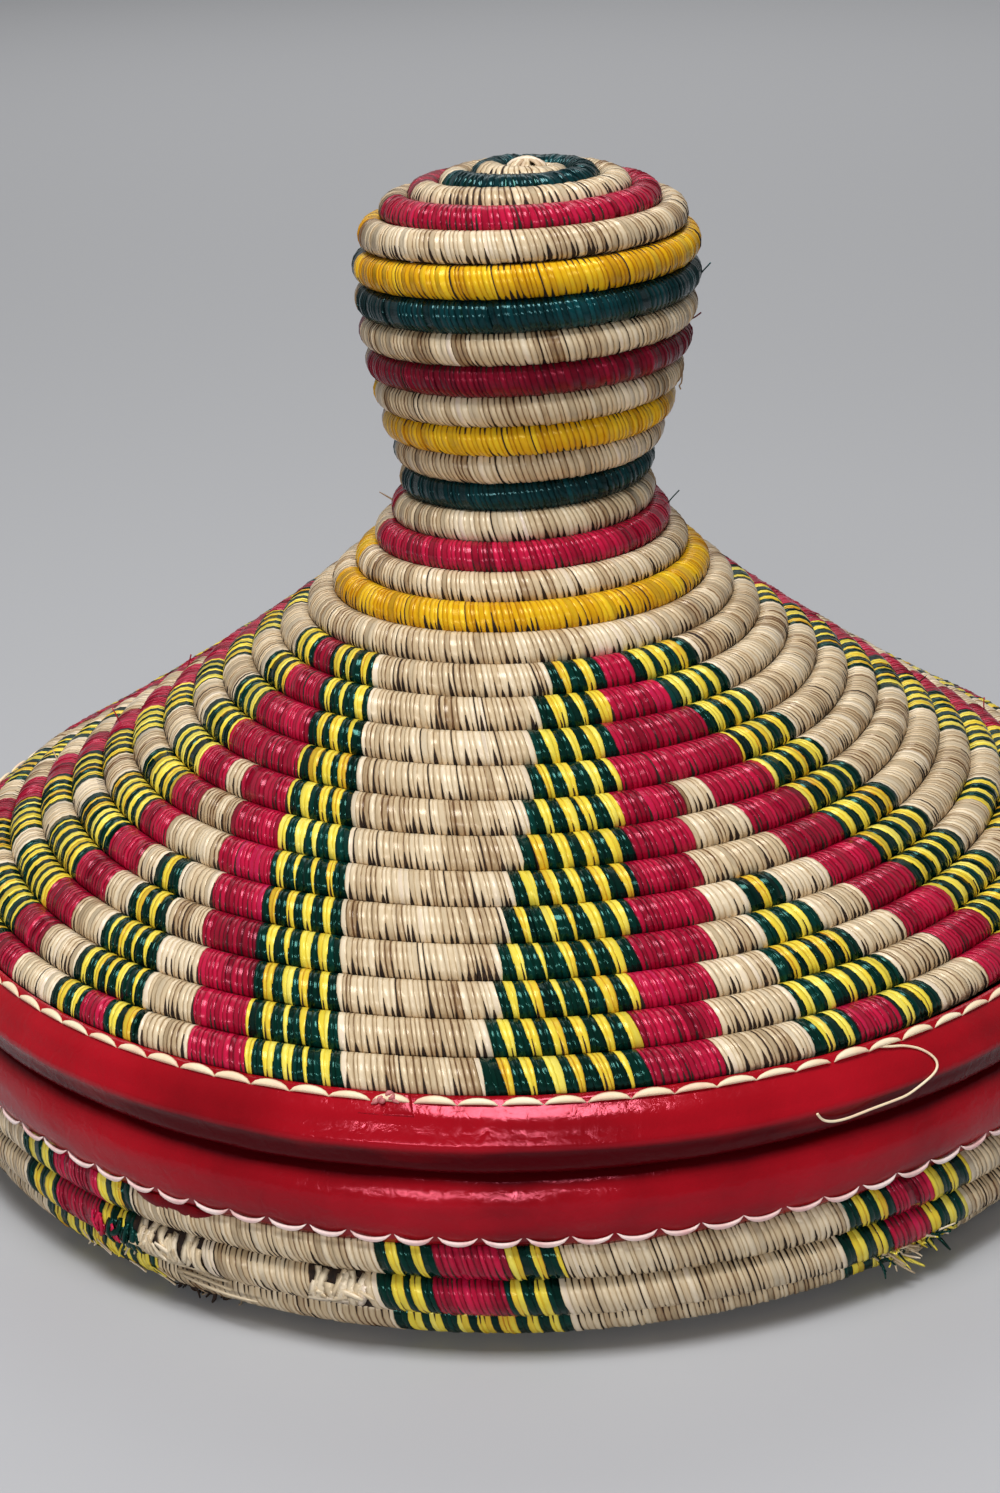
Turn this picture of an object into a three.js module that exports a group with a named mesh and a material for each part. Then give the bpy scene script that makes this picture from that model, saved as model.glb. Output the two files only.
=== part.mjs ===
// Mesob: a coiled grass basket in two halves. A tall lid, whose hollow knob flows into a wide cone,
// stands on a low tray. Each half is one spiral of wrapped grass, and each rim is bound in red leather
// that is laced to the last turn. Millimetres, +Z up, origin in the middle of the underside.
import * as THREE from 'three';

// Clearances
const FIT = 0.3;              // air between pieces that touch
const GROOVE = 0.5;           // air between neighbouring turns of a coil

// Lid: rod centres follow this outline, heights are above the foot of the cone
const KNOB_ROW = 8.1;         // turn to turn on the knob and neck
const CONE_ROW = 9.9;         // turn to turn on the cone
const START_RADIUS = 5.5;     // the knotted start in the middle of the crown
const CROWN_RADIUS = 22.5;
const CROWN_DROP = 4.5;
const SHOULDER_RADIUS = 36.6;
const SHOULDER_DROP = 11.5;
const KNOB_RADIUS = 40.2;
const KNOB_DROP = 22;
const KNOB_WALL_RADIUS = 38.6;
const KNOB_WALL_DROP = 40;
const KNOB_FOOT_RADIUS = 34.2;
const KNOB_FOOT_DROP = 59;
const NECK_RADIUS = 29;
const NECK_DROP = 77;
const THROAT_RADIUS = 34.1;
const THROAT_DROP = 89.5;
const CONE_TOP_RADIUS = 45;
const CONE_TOP_DROP = 102.7;
const CONE_BEND_RADIUS = 66;
const CONE_BEND_DROP = 120.8;
const CONE_WAIST_RADIUS = 97.7;
const CONE_WAIST_DROP = 142.7;
const LID_HEIGHT = 176.7;     // foot of the cone to the rod centre of the crown
const NECK_SPLICE = 12.75;    // turn at which the neck's coil follows the knob's
const CONE_SPLICE = 18;       // turn at which the cone's coil follows the neck's
const WIDEN = 6;              // turns round the cone's splice over which the rows widen
const LID_START_ANGLE = 90;   // where the coil's turns are counted from
const FOOT_SLOPE = 30;        // degrees below level, where the cone meets its rim
const FOOT_RUN = 25.5;        // stretch of cone that keeps the foot's slope
const KNOB_LEAN = 0.032;      // sideways drift of the handmade lid for each unit of height

// Rims
const RIM_RADIUS = 155.9;     // middle of both rim rolls
const FOOT_INSET = 1.9;       // the cone's foot lies inside the middle of the roll
const LEATHER = 1.4;
const CORE_WIDTH = 11.2;
const LID_CORE_HEIGHT = 10;
const BASE_CORE_HEIGHT = 14.4;
const LIP_RISE = 1.2;         // leather edge, out from the middle of the rod that it butts against
const LID_LIP_TURN = 45;      // degrees off level at which the leather leaves the roll for the coil
const BASE_LIP_TURN = 35;
const TUCK = 140;             // degrees round the roll at which the leather ends inside the rim

// Lacing
const THREAD = 1.5;
const SCALLOPS = 104;
const SCALLOP_DEPTH = 1.5;
const SCALLOP_OVERHANG = 0.3; // part of that depth that lies past the leather's edge
const KNOT_ANGLE = -103;      // degrees, +X is 0 and the front is -90
const BASE_KNOT_ANGLE = 82;
const KNOT_LENGTH = 4.6;

// Base: rod centres run past the middle of the rim roll by these bulges
const FLOOR_INSET = 5.7;      // the floor ends this far inside the middle of the roll
const FLOOR_THICKNESS = 8.8;
const BASE_ROW = 9.8;
const CORNER_BULGE = 0.7;
const CORNER_HEIGHT = 12.3;
const BELLY_BULGE = 2;
const BELLY_HEIGHT = 22.2;
const WALL_BULGE = 1.5;
const WALL_HEIGHT = 31.5;
const BASE_START_ANGLE = -120; // where the wall's coil begins as a thin tip
const WISP = 2.6;             // breadth of a coil's band where it begins and ends

// Loose strand of the lid's lacing, limp on the leather where it has pulled out
const STRAND = 0.6;
const STRAND_STEP = 2.5;      // diameters from step to step
const STRAND_ROUTE = [
  [76.7, -136.8, 64.0],
  [78.4, -136.3, 63.7],
  [80.4, -135.6, 63.2],
  [82.6, -134.7, 62.9],
  [85.0, -133.9, 62.2],
  [87.3, -133.5, 61.3],
  [89.5, -133.6, 60.0],
  [91.0, -134.0, 58.5],
  [91.1, -135.0, 57.1],
  [89.9, -136.2, 56.0],
  [87.9, -137.5, 55.0],
  [85.6, -139.1, 54.1],
  [83.2, -140.7, 53.4],
  [80.5, -142.3, 53.3],
  [77.7, -143.7, 53.1],
  [74.9, -145.1, 52.9],
  [72.2, -146.1, 52.4],
  [69.6, -147.3, 52.1],
  [67.3, -148.5, 52.2],
  [65.5, -149.7, 52.7],
  [63.7, -150.6, 53.5],
  [62.6, -151.1, 54.7],
  [62.1, -151.3, 55.7],
];

// A coil's six-sided section, as shares of its half breadth: across the rows, and out of the basket
const ROD = [[1, 0], [0.5, -1], [-0.5, -1], [-1, 0], [-0.5, 1], [0.5, 1]];

// Facets
const STRAND_SIDES = 8;
const LACE_SIDES = 4;
const LID_STEPS = 20;         // steps to a turn
const BASE_STEPS = 24;
const RING_STEPS = 48;
const ARC_STEPS = 9;

const TURN = Math.PI * 2;
const toRad = THREE.MathUtils.degToRad;

const GRASS = { color: 0xcbb491, roughness: 0.55 };
const RED_LEATHER = { color: 0x9b1722, roughness: 0.42 };
const CREAM = { color: 0xf0d9b4, roughness: 0.6 };

function piece(name, geometry, { color, roughness }) {
  const mesh = new THREE.Mesh(
    geometry,
    new THREE.MeshStandardMaterial({ color, roughness, metalness: 0 }),
  );
  mesh.name = name;
  return mesh;
}

// An outline in radius and height, read by the distance along it
function outline(points) {
  const curve = new THREE.SplineCurve(points.map(([r, z]) => new THREE.Vector2(r, z)));
  curve.arcLengthDivisions = 1200;
  const length = curve.getLength();
  return {
    length,
    at(distance) {
      const u = THREE.MathUtils.clamp(distance / length, 0, 1);
      const point = curve.getPointAt(u);
      const along = curve.getTangentAt(u);
      return { point, along, out: new THREE.Vector2(-along.y, along.x) };
    },
  };
}

// One unbroken tube from rings of points, each ring in its own plane
function tube(rings) {
  const sides = rings[0].length;
  const positions = rings.flat().flatMap((p) => p.toArray());
  const index = [];
  for (let i = 0; i + 1 < rings.length; i += 1) {
    for (let k = 0; k < sides; k += 1) {
      const a = i * sides + k;
      const b = i * sides + ((k + 1) % sides);
      index.push(a, a + sides, b + sides, a, b + sides, b);
    }
  }
  const last = (rings.length - 1) * sides;
  for (let k = 1; k + 1 < sides; k += 1) {
    index.push(0, k, k + 1);
    index.push(last, last + k + 1, last + k);
  }
  const geometry = new THREE.BufferGeometry();
  geometry.setAttribute('position', new THREE.Float32BufferAttribute(positions, 3));
  geometry.setIndex(index);
  geometry.computeVertexNormals();
  return geometry;
}

// Turn edges along an outline: turn t fills the band from edge(t) to edge(t + 1), and the band thins
// to nothing against the two stops, so that the coil starts on a knot and ends in a level rim
function coilSection(shape, edge, t) {
  const inner = edge(t);
  const outer = edge(t + 1);
  const half = (outer - inner - GROOVE) / 2;
  return { ...shape.at((inner + outer) / 2), half };
}

function coilRings(shape, edge, from, to, steps, startAngle, lean) {
  const count = Math.round((to - from) * steps);
  const rings = [];
  for (let i = 0; i <= count; i += 1) {
    const t = from + ((to - from) * i) / count;
    const angle = toRad(startAngle) - TURN * t;
    const { point, along, out, half } = coilSection(shape, edge, t);
    rings.push(ROD.map(([across, proud]) => {
      const r = point.x + half * (along.x * across + out.x * proud);
      const z = point.y + half * (along.y * across + out.y * proud);
      return new THREE.Vector3(r * Math.cos(angle) + lean(z), r * Math.sin(angle), z);
    }));
  }
  return rings;
}

// Least air between the turns, from every corner to the nearest side of the next turn's section
function leastGap(rings, steps) {
  let least = Infinity;
  const side = new THREE.Line3();
  const near = new THREE.Vector3();
  for (let i = 0; i + steps < rings.length; i += 1) {
    for (const [here, there] of [[rings[i], rings[i + steps]], [rings[i + steps], rings[i]]]) {
      for (const corner of here) {
        for (let k = 0; k < ROD.length; k += 1) {
          side.set(there[k], there[(k + 1) % ROD.length]);
          side.closestPointToPoint(corner, true, near);
          least = Math.min(least, near.distanceTo(corner));
        }
      }
    }
  }
  return least;
}

function coil(name, rings, steps, finish) {
  console.log(`${name}: least gap between turns ${leastGap(rings, steps).toFixed(2)} mm`);
  return piece(name, tube(rings), finish);
}

function lathe(section, steps = RING_STEPS) {
  const closed = section[0].x === 0 ? section : [...section, section[0].clone()];
  return new THREE.LatheGeometry(closed, steps).rotateX(Math.PI / 2);
}

function oval(centre, width, height, from, to, steps) {
  return Array.from({ length: steps + 1 }, (_, i) => {
    const a = toRad(from + ((to - from) * i) / steps);
    return new THREE.Vector2(
      centre.x + (width / 2) * Math.cos(a),
      centre.y + (height / 2) * Math.sin(a),
    );
  });
}

// Base outline: from the floor's edge, round the corner and up the low wall
const floorRadius = RIM_RADIUS - FLOOR_INSET;
const baseShape = outline([
  [floorRadius, FLOOR_THICKNESS / 2],
  [RIM_RADIUS + CORNER_BULGE, CORNER_HEIGHT],
  [RIM_RADIUS + BELLY_BULGE, BELLY_HEIGHT],
  [RIM_RADIUS + WALL_BULGE, WALL_HEIGHT],
]);
const baseEdge = (t) => THREE.MathUtils.clamp(t * BASE_ROW, 0, baseShape.length);

// Lid outline: from the middle of the crown, down the knob and out over the cone to the foot
const footAlong = new THREE.Vector2(1, 0).rotateAround(new THREE.Vector2(), -toRad(FOOT_SLOPE));
const footRadius = RIM_RADIUS - FOOT_INSET;
const lidShape = outline([
  [0, LID_HEIGHT],
  [CROWN_RADIUS, LID_HEIGHT - CROWN_DROP],
  [SHOULDER_RADIUS, LID_HEIGHT - SHOULDER_DROP],
  [KNOB_RADIUS, LID_HEIGHT - KNOB_DROP],
  [KNOB_WALL_RADIUS, LID_HEIGHT - KNOB_WALL_DROP],
  [KNOB_FOOT_RADIUS, LID_HEIGHT - KNOB_FOOT_DROP],
  [NECK_RADIUS, LID_HEIGHT - NECK_DROP],
  [THROAT_RADIUS, LID_HEIGHT - THROAT_DROP],
  [CONE_TOP_RADIUS, LID_HEIGHT - CONE_TOP_DROP],
  [CONE_BEND_RADIUS, LID_HEIGHT - CONE_BEND_DROP],
  [CONE_WAIST_RADIUS, LID_HEIGHT - CONE_WAIST_DROP],
  [footRadius - FOOT_RUN * footAlong.x, -FOOT_RUN * footAlong.y],
  [footRadius, 0],
]);

// Rows widen from the knob's to the cone's over WIDEN turns round the cone's splice
function lidEdge(t) {
  const x = THREE.MathUtils.clamp((t - CONE_SPLICE) / WIDEN + 0.5, 0, 1);
  const past = Math.max(t - CONE_SPLICE - WIDEN / 2, 0);
  const extra = (CONE_ROW - KNOB_ROW) * (WIDEN * (x ** 3 - x ** 4 / 2) + past);
  return THREE.MathUtils.clamp(KNOB_ROW * t + extra, START_RADIUS, lidShape.length);
}
const lean = (z) => KNOB_LEAN * z;
const upright = () => 0;

// First and last turn at which a coil's band is at least a wisp broad
function turnSpan(edge, steps) {
  let from = -1;
  while (edge(from + 1) - edge(from) < WISP) from += 1 / steps;
  let to = from;
  while (edge(to + 1 / steps + 1) - edge(to + 1 / steps) >= WISP) to += 1 / steps;
  return { from, to };
}

const lidSpan = turnSpan(lidEdge, LID_STEPS);
const baseSpan = turnSpan(baseEdge, BASE_STEPS);

// A coil stops a gap short of the turn at which the next one follows it
function stopBefore(t) {
  const radius = coilSection(lidShape, lidEdge, t).point.x;
  return t - FIT / (TURN * radius);
}

// Rolled rims: an oval core of grass, and a leather strip from its lip on the coil round to the tuck
// inside the rim. side is +1 where the coil is above the roll and -1 where it is below.
function rimRoll({ end, along, out, row, side, coreHeight, lipTurn }) {
  const half = (row - GROOVE) / 2;
  const under = along.clone().multiplyScalar(GROOVE / 2 + half / 2).addScaledVector(out, half);
  const nearest = side > 0 ? end.y - under.y : end.y;
  const core = new THREE.Vector2(RIM_RADIUS, nearest - side * (FIT + coreHeight / 2));
  const clear = 1 / Math.cos(toRad((lipTurn + 360 - TUCK) / ARC_STEPS / 2));
  const wrap = (grow, scale) => oval(
    core,
    scale * (CORE_WIDTH + 2 * grow),
    scale * (coreHeight + 2 * grow),
    side * lipTurn,
    side * (TUCK - 360),
    ARC_STEPS,
  );
  const lipIn = end.clone().addScaledVector(along, FIT).addScaledVector(out, LIP_RISE);
  const lipOut = lipIn.clone().addScaledVector(out, LEATHER);
  const outer = wrap(FIT + LEATHER, 1);
  const down = outer[0].clone().sub(lipOut).normalize();
  const proud = new THREE.Vector2(-down.y, down.x).multiplyScalar(side);
  const section = [lipIn, lipOut, ...outer, ...wrap(FIT, clear).reverse()];
  return {
    core,
    lipOut,
    down,
    proud,
    bottom: Math.min(...outer.map((p) => p.y)),
    top: Math.max(...outer.map((p) => p.y)),
    coreSection: oval(core, CORE_WIDTH, coreHeight, 0, 360 - 360 / 8, 7),
    leatherSection: side > 0 ? section.reverse() : section,
    outer,
  };
}

const baseEnd = baseShape.at(baseShape.length);
const baseRim = rimRoll({
  end: baseEnd.point,
  along: baseEnd.along,
  out: baseEnd.out.clone().negate(),
  row: BASE_ROW,
  side: -1,
  coreHeight: BASE_CORE_HEIGHT,
  lipTurn: BASE_LIP_TURN,
});
const lidRim = rimRoll({
  end: new THREE.Vector2(footRadius, 0),
  along: footAlong,
  out: new THREE.Vector2(-footAlong.y, footAlong.x),
  row: CONE_ROW,
  side: 1,
  coreHeight: LID_CORE_HEIGHT,
  lipTurn: LID_LIP_TURN,
});
const lidZ = baseRim.top + FIT - lidRim.bottom;

// Lacing: one thread that runs round the leather's edge in scallops, from its knot and back to it
const laceLift = FIT + THREAD / 2;
function lacePoint(rim, angle, depth) {
  const p = rim.lipOut.clone()
    .addScaledVector(rim.proud, laceLift)
    .addScaledVector(rim.down, depth - SCALLOP_OVERHANG);
  return new THREE.Vector3(p.x * Math.cos(angle), p.x * Math.sin(angle), p.y);
}

function lacing(rim, knotAngle) {
  const radius = rim.lipOut.x;
  const skip = (KNOT_LENGTH / 2 + FIT) / radius;
  const count = 2 * SCALLOPS;
  const rings = [];
  for (let i = 0; i <= count; i += 1) {
    const angle = toRad(knotAngle) + skip + ((TURN - 2 * skip) * i) / count;
    const centre = lacePoint(rim, angle, (i % 2) * SCALLOP_DEPTH);
    const outward = new THREE.Vector3(Math.cos(angle), Math.sin(angle), 0);
    const ring = [];
    for (let k = 0; k < LACE_SIDES; k += 1) {
      const a = ((k + 0.5) * TURN) / LACE_SIDES;
      const point = centre.clone().addScaledVector(outward, (THREAD / 2) * Math.cos(a));
      point.z += (THREAD / 2) * Math.sin(a);
      ring.push(point);
    }
    rings.push(ring);
  }
  return tube(rings);
}

// A knot is a small plump bead of thread, lying along the rim
function knot(name, rim, angle) {
  const half = oval(new THREE.Vector2(), KNOT_LENGTH, THREAD * 2, 0, 90, 4)
    .concat(oval(new THREE.Vector2(), KNOT_LENGTH, THREAD * 2, 90, 180, 4).slice(1))
    .map((p) => new THREE.Vector2(p.y, p.x));
  half[0].x = 0;
  half.at(-1).x = 0;
  const mesh = piece(name, new THREE.LatheGeometry(half.reverse(), 8), CREAM);
  const lift = THREAD - THREAD / 2;
  const seat = rim.lipOut.clone()
    .addScaledVector(rim.proud, laceLift + lift)
    .addScaledVector(rim.down, SCALLOP_DEPTH / 2);
  mesh.position.set(
    seat.x * Math.cos(toRad(angle)),
    seat.x * Math.sin(toRad(angle)),
    seat.y,
  );
  mesh.rotation.z = toRad(angle);
  return mesh;
}

// The strand lies at its own place on the standing basket, so its points are not the lid's
function strand(name) {
  const curve = new THREE.CatmullRomCurve3(STRAND_ROUTE.map((p) => new THREE.Vector3(...p)));
  const section = new THREE.Shape();
  for (let k = 0; k < STRAND_SIDES; k += 1) {
    const a = (k * TURN) / STRAND_SIDES;
    const move = k === 0 ? 'moveTo' : 'lineTo';
    section[move]((STRAND / 2) * Math.cos(a), (STRAND / 2) * Math.sin(a));
  }
  const steps = Math.round(curve.getLength() / (STRAND * STRAND_STEP));
  return piece(
    name,
    new THREE.ExtrudeGeometry(section, { steps, extrudePath: curve, bevelEnabled: false }),
    CREAM,
  );
}

// Base
const base = new THREE.Group();
const edgeRound = FLOOR_THICKNESS / 2;
const floorEdge = floorRadius - GROOVE / 2;
base.add(piece('base_floor', lathe([
  new THREE.Vector2(0, 0),
  ...oval(
    new THREE.Vector2(floorEdge - edgeRound, edgeRound),
    FLOOR_THICKNESS,
    FLOOR_THICKNESS,
    -90,
    90,
    4,
  ),
  new THREE.Vector2(0, FLOOR_THICKNESS),
], BASE_STEPS), GRASS));
base.add(coil(
  'base_wall_coil',
  coilRings(baseShape, baseEdge, baseSpan.from, baseSpan.to, BASE_STEPS, BASE_START_ANGLE, upright),
  BASE_STEPS,
  GRASS,
));
base.add(piece('base_rim_core', lathe(baseRim.coreSection), GRASS));
base.add(piece('base_rim_leather', lathe(baseRim.leatherSection), RED_LEATHER));
base.add(piece('base_rim_lacing', lacing(baseRim, BASE_KNOT_ANGLE), CREAM));
base.add(knot('base_lacing_knot', baseRim, BASE_KNOT_ANGLE));

// Lid
const lid = new THREE.Group();
lid.position.z = lidZ;
const start = piece('lid_coil_start', lathe(
  oval(
    new THREE.Vector2(0, LID_HEIGHT),
    2 * START_RADIUS - GROOVE,
    KNOB_ROW - GROOVE,
    -90,
    90,
    6,
  ).map((p, i) => (i % 6 === 0 ? new THREE.Vector2(0, p.y) : p)),
  16,
), GRASS);
start.position.x = lean(LID_HEIGHT);
lid.add(start);
const lengths = [
  { name: 'lid_knob_coil', from: lidSpan.from, to: stopBefore(NECK_SPLICE) },
  { name: 'lid_neck_coil', from: NECK_SPLICE, to: stopBefore(CONE_SPLICE) },
  { name: 'lid_cone_coil', from: CONE_SPLICE, to: lidSpan.to },
];
for (const { name, from, to } of lengths) {
  const rings = coilRings(lidShape, lidEdge, from, to, LID_STEPS, LID_START_ANGLE, lean);
  lid.add(coil(name, rings, LID_STEPS, GRASS));
}
lid.add(piece('lid_rim_core', lathe(lidRim.coreSection), GRASS));
lid.add(piece('lid_rim_leather', lathe(lidRim.leatherSection), RED_LEATHER));
lid.add(piece('lid_rim_lacing', lacing(lidRim, KNOT_ANGLE), CREAM));
lid.add(knot('lid_lacing_knot', lidRim, KNOT_ANGLE));

const mesob = new THREE.Group();
mesob.add(base, lid, strand('lid_lacing_strand'));
export default mesob;
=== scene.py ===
"""A mesob: a round coiled grass basket with a tall lid, its rims bound in laced red leather.

Each coil is a bundle of grass wrapped in flat stitches. The stitches follow the same spiral as the
solids, and their dyes make the bands of the knob, the nested triangles of the cone and the bars of the
base. Lengths are in millimetres, angles in degrees, and meshes are made in metres.
"""

import math

import bmesh
import bpy
import numpy as np
from mathutils import Matrix, Vector, noise


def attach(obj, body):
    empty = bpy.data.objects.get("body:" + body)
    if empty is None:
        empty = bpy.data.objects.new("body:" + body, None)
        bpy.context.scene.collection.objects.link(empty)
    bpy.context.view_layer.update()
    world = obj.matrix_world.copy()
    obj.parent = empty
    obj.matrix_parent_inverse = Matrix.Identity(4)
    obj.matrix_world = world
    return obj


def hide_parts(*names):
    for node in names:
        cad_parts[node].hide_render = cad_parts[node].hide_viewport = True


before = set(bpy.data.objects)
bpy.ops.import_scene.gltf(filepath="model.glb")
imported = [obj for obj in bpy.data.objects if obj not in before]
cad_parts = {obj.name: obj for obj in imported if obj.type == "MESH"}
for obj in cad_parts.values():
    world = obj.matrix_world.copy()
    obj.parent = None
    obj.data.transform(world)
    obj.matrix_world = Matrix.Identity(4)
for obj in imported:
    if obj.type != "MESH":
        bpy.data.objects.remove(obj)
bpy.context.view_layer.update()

METRE = 0.001
MERGE = 0.0005
rng = np.random.default_rng(41)

# Lid: the middles of its rods follow this outline, heights are above the foot of the cone
KNOB_ROW = 8.1
CONE_ROW = 9.9
START_RADIUS = 5.5
LID_START_ANGLE = 90
LID_OUTLINE = [
    (0, 176.7), (22.5, 172.2), (36.6, 165.2), (40.2, 154.7), (38.6, 136.7), (34.2, 117.7), (29, 99.7),
    (34.1, 87.2), (45, 74), (66, 55.9), (97.7, 34), (131.9, 12.75), (154, 0),
]
CROWN_HEIGHT = LID_OUTLINE[0][1]
LID_FOOT = 62.97
KNOB_LEAN = 0.032
NECK_SPLICE = 12.75
CONE_SPLICE = 18
WIDEN = 6

# Base
BASE_ROW = 9.8
BASE_START_ANGLE = -120
BASE_OUTLINE = [(150.2, 4.4), (156.6, 12.3), (157.9, 22.2), (157.4, 31.5)]
FLOOR_RADIUS = 149.6
FLOOR_THICKNESS = 8.8
WISP = 2.6

# Rims: the outside of each leather strip, from its laced edge round the roll to its tucked edge
LEATHER = 1.4
LEATHER_EDGE = 0.8
LID_LEATHER = [
    (155.5, 65.0), (157.8, 62.7), (160.1, 60.5), (161.6, 58.6), (162.6, 57.0), (163.0, 55.6),
    (162.4, 53.2), (161.8, 50.8), (161.0, 49.0), (159.0, 48.3), (155.9, 48.2), (152.2, 49.1),
    (149.8, 51.4), (148.6, 54.9), (149.2, 57.6), (150.3, 59.2),
]
BASE_LEATHER = [
    (161.2, 30.2), (162.3, 32.4), (162.9, 35.4), (163.1, 38.6), (163.1, 41.0), (162.7, 42.6),
    (161.4, 45.3), (159.7, 46.9), (157.9, 47.7), (155.9, 47.9), (152.5, 47.2), (149.9, 44.8),
    (148.6, 40.5), (148.9, 36.6), (150.3, 34.4),
]
RIM_RADIUS = 155.9
CORE_WIDTH = 11.2
LID_CORE_MIDDLE = 55.7
LID_CORE_HEIGHT = 12
BASE_CORE_MIDDLE = 38.2
BASE_CORE_HEIGHT = 17

# Lacing
SCALLOPS = 104
LID_KNOT_ANGLE = -103
BASE_KNOT_ANGLE = 82

# Lap of the lid's leather strip: where it is, and its reach from the laced edge
LAP_ANGLE = -99.9
LAP_REACH = 5.4

# Stitches, the share of their valleys that are tight, and the gaps. Over BARE_GAP the bundle shows,
# painted dark as shade
STITCH = 1.3
FLOOR_STITCH = 1.8
STITCH_VARIES = 0.32
SLANT = 0.3
ROUNDNESS = 0.94
OUTER_FACES = 8
INNER_FACES = 4
TIGHT_ON_LID = 0.84
TIGHT_ON_BASE = 0.66
TIGHT_IN_DYE = 0.98
WIDEST_GAP = 1.05
BARE_GAP = 0.27
DEEPEST_VALLEY = 1.2

# Pattern of the lid: whole rows whose dyes lead the coil's own count of turns, then five triangles, each
# with the angle that it is measured from, how far that drifts with each row, and its size. A small
# wedge in the widest gap grows with each row
DYE_LEAD = 1.278
CONE_PATTERN_ROW = 19
TRIANGLES = [(-228.5, 0.4, 0.87), (-178, 1.05, 0.87), (-108.6, 0.8, 1), (-23, 0.8, 1), (52, 0.8, 1)]
GAP_ANGLE = -20.5
GAP_ROW = 27
WEDGE_HALF = 7.5
WEDGE_GROWS = 4
STRIPE = 2.6

# Pattern of the base: upright bars, by the angles of their middles and half their breadths, their steps
# aside in the lowest row and above it, and how narrow their crimson is
BAR_ANGLES = [-132.6, -95.5, -58.1, *(-58.1 + 35.69 * k for k in range(1, 8))]
BAR_HALVES = np.array([19.7, 19.7, 17.4, *(7 * [19.7])])
BAR_STEPS = [3.5, 0.3]
CRIMSON_SHARE = 0.8
CRIMSON_INSET = 7.9

# Where the wrapping of the base's middle row is gone: angle of the middle, half its reach
CHEWED = [(-121.9, 3.4), (-106, 2.5)]

# Loose strand, as it lies on the lid's leather
STRAND = 0.6
STRAND_ROUTE = [
    (76.7, -136.8, 64.0), (78.4, -136.3, 63.7), (80.4, -135.6, 63.2), (82.6, -134.7, 62.9),
    (85.0, -133.9, 62.2), (87.3, -133.5, 61.3), (89.5, -133.6, 60.0), (91.0, -134.0, 58.5),
    (91.1, -135.0, 57.1), (89.9, -136.2, 56.0), (87.9, -137.5, 55.0), (85.6, -139.1, 54.1),
    (83.2, -140.7, 53.4), (80.5, -142.3, 53.3), (77.7, -143.7, 53.1), (74.9, -145.1, 52.9),
    (72.2, -146.1, 52.4), (69.6, -147.3, 52.1), (67.3, -148.5, 52.2), (65.5, -149.7, 52.7),
    (63.7, -150.6, 53.5), (62.6, -151.1, 54.7), (62.1, -151.3, 55.7),
]

# Camera, from the photograph
CAMERA_PLACE = (1.5, -621.4, 330.9)
CAMERA_TURN = 0.73
CAMERA_PITCH = 68.4
CAMERA_ROLL = -2.13
CAMERA_LENS = 59.1

# Table, in metres
TABLE_REACH = 8


# Materials

MULTIPLY_ADD = {"operation": "MULTIPLY_ADD"}


def colour(code):
    """An sRGB hex code as linear red, green, blue and alpha."""
    channels = [int(code[i:i + 2], 16) / 255 for i in (1, 3, 5)]
    linear = [c / 12.92 if c <= 0.04045 else ((c + 0.055) / 1.055) ** 2.4 for c in channels]
    return (*linear, 1.0)


def add(tree, kind, settings=None, inputs=None, stops=None):
    """Adds a node with its settings and links. An input is a value, a node or a node's output."""
    made = tree.nodes.new(kind)
    for key, value in (settings or {}).items():
        setattr(made, key, value)
    for key, value in (inputs or {}).items():
        if isinstance(value, bpy.types.Node):
            value = value.outputs[0]
        if isinstance(value, bpy.types.NodeSocket):
            tree.links.new(value, made.inputs[key])
        else:
            made.inputs[key].default_value = value
    for k, (place, code) in enumerate(stops or []):
        elements = made.color_ramp.elements
        element = elements[k] if k < len(elements) else elements.new(place)
        element.position = place
        element.color = colour(code)
    return made


def new_material(name):
    made = bpy.data.materials.new(name)
    made.use_nodes = True
    made.node_tree.nodes.clear()
    return made, made.node_tree


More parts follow.
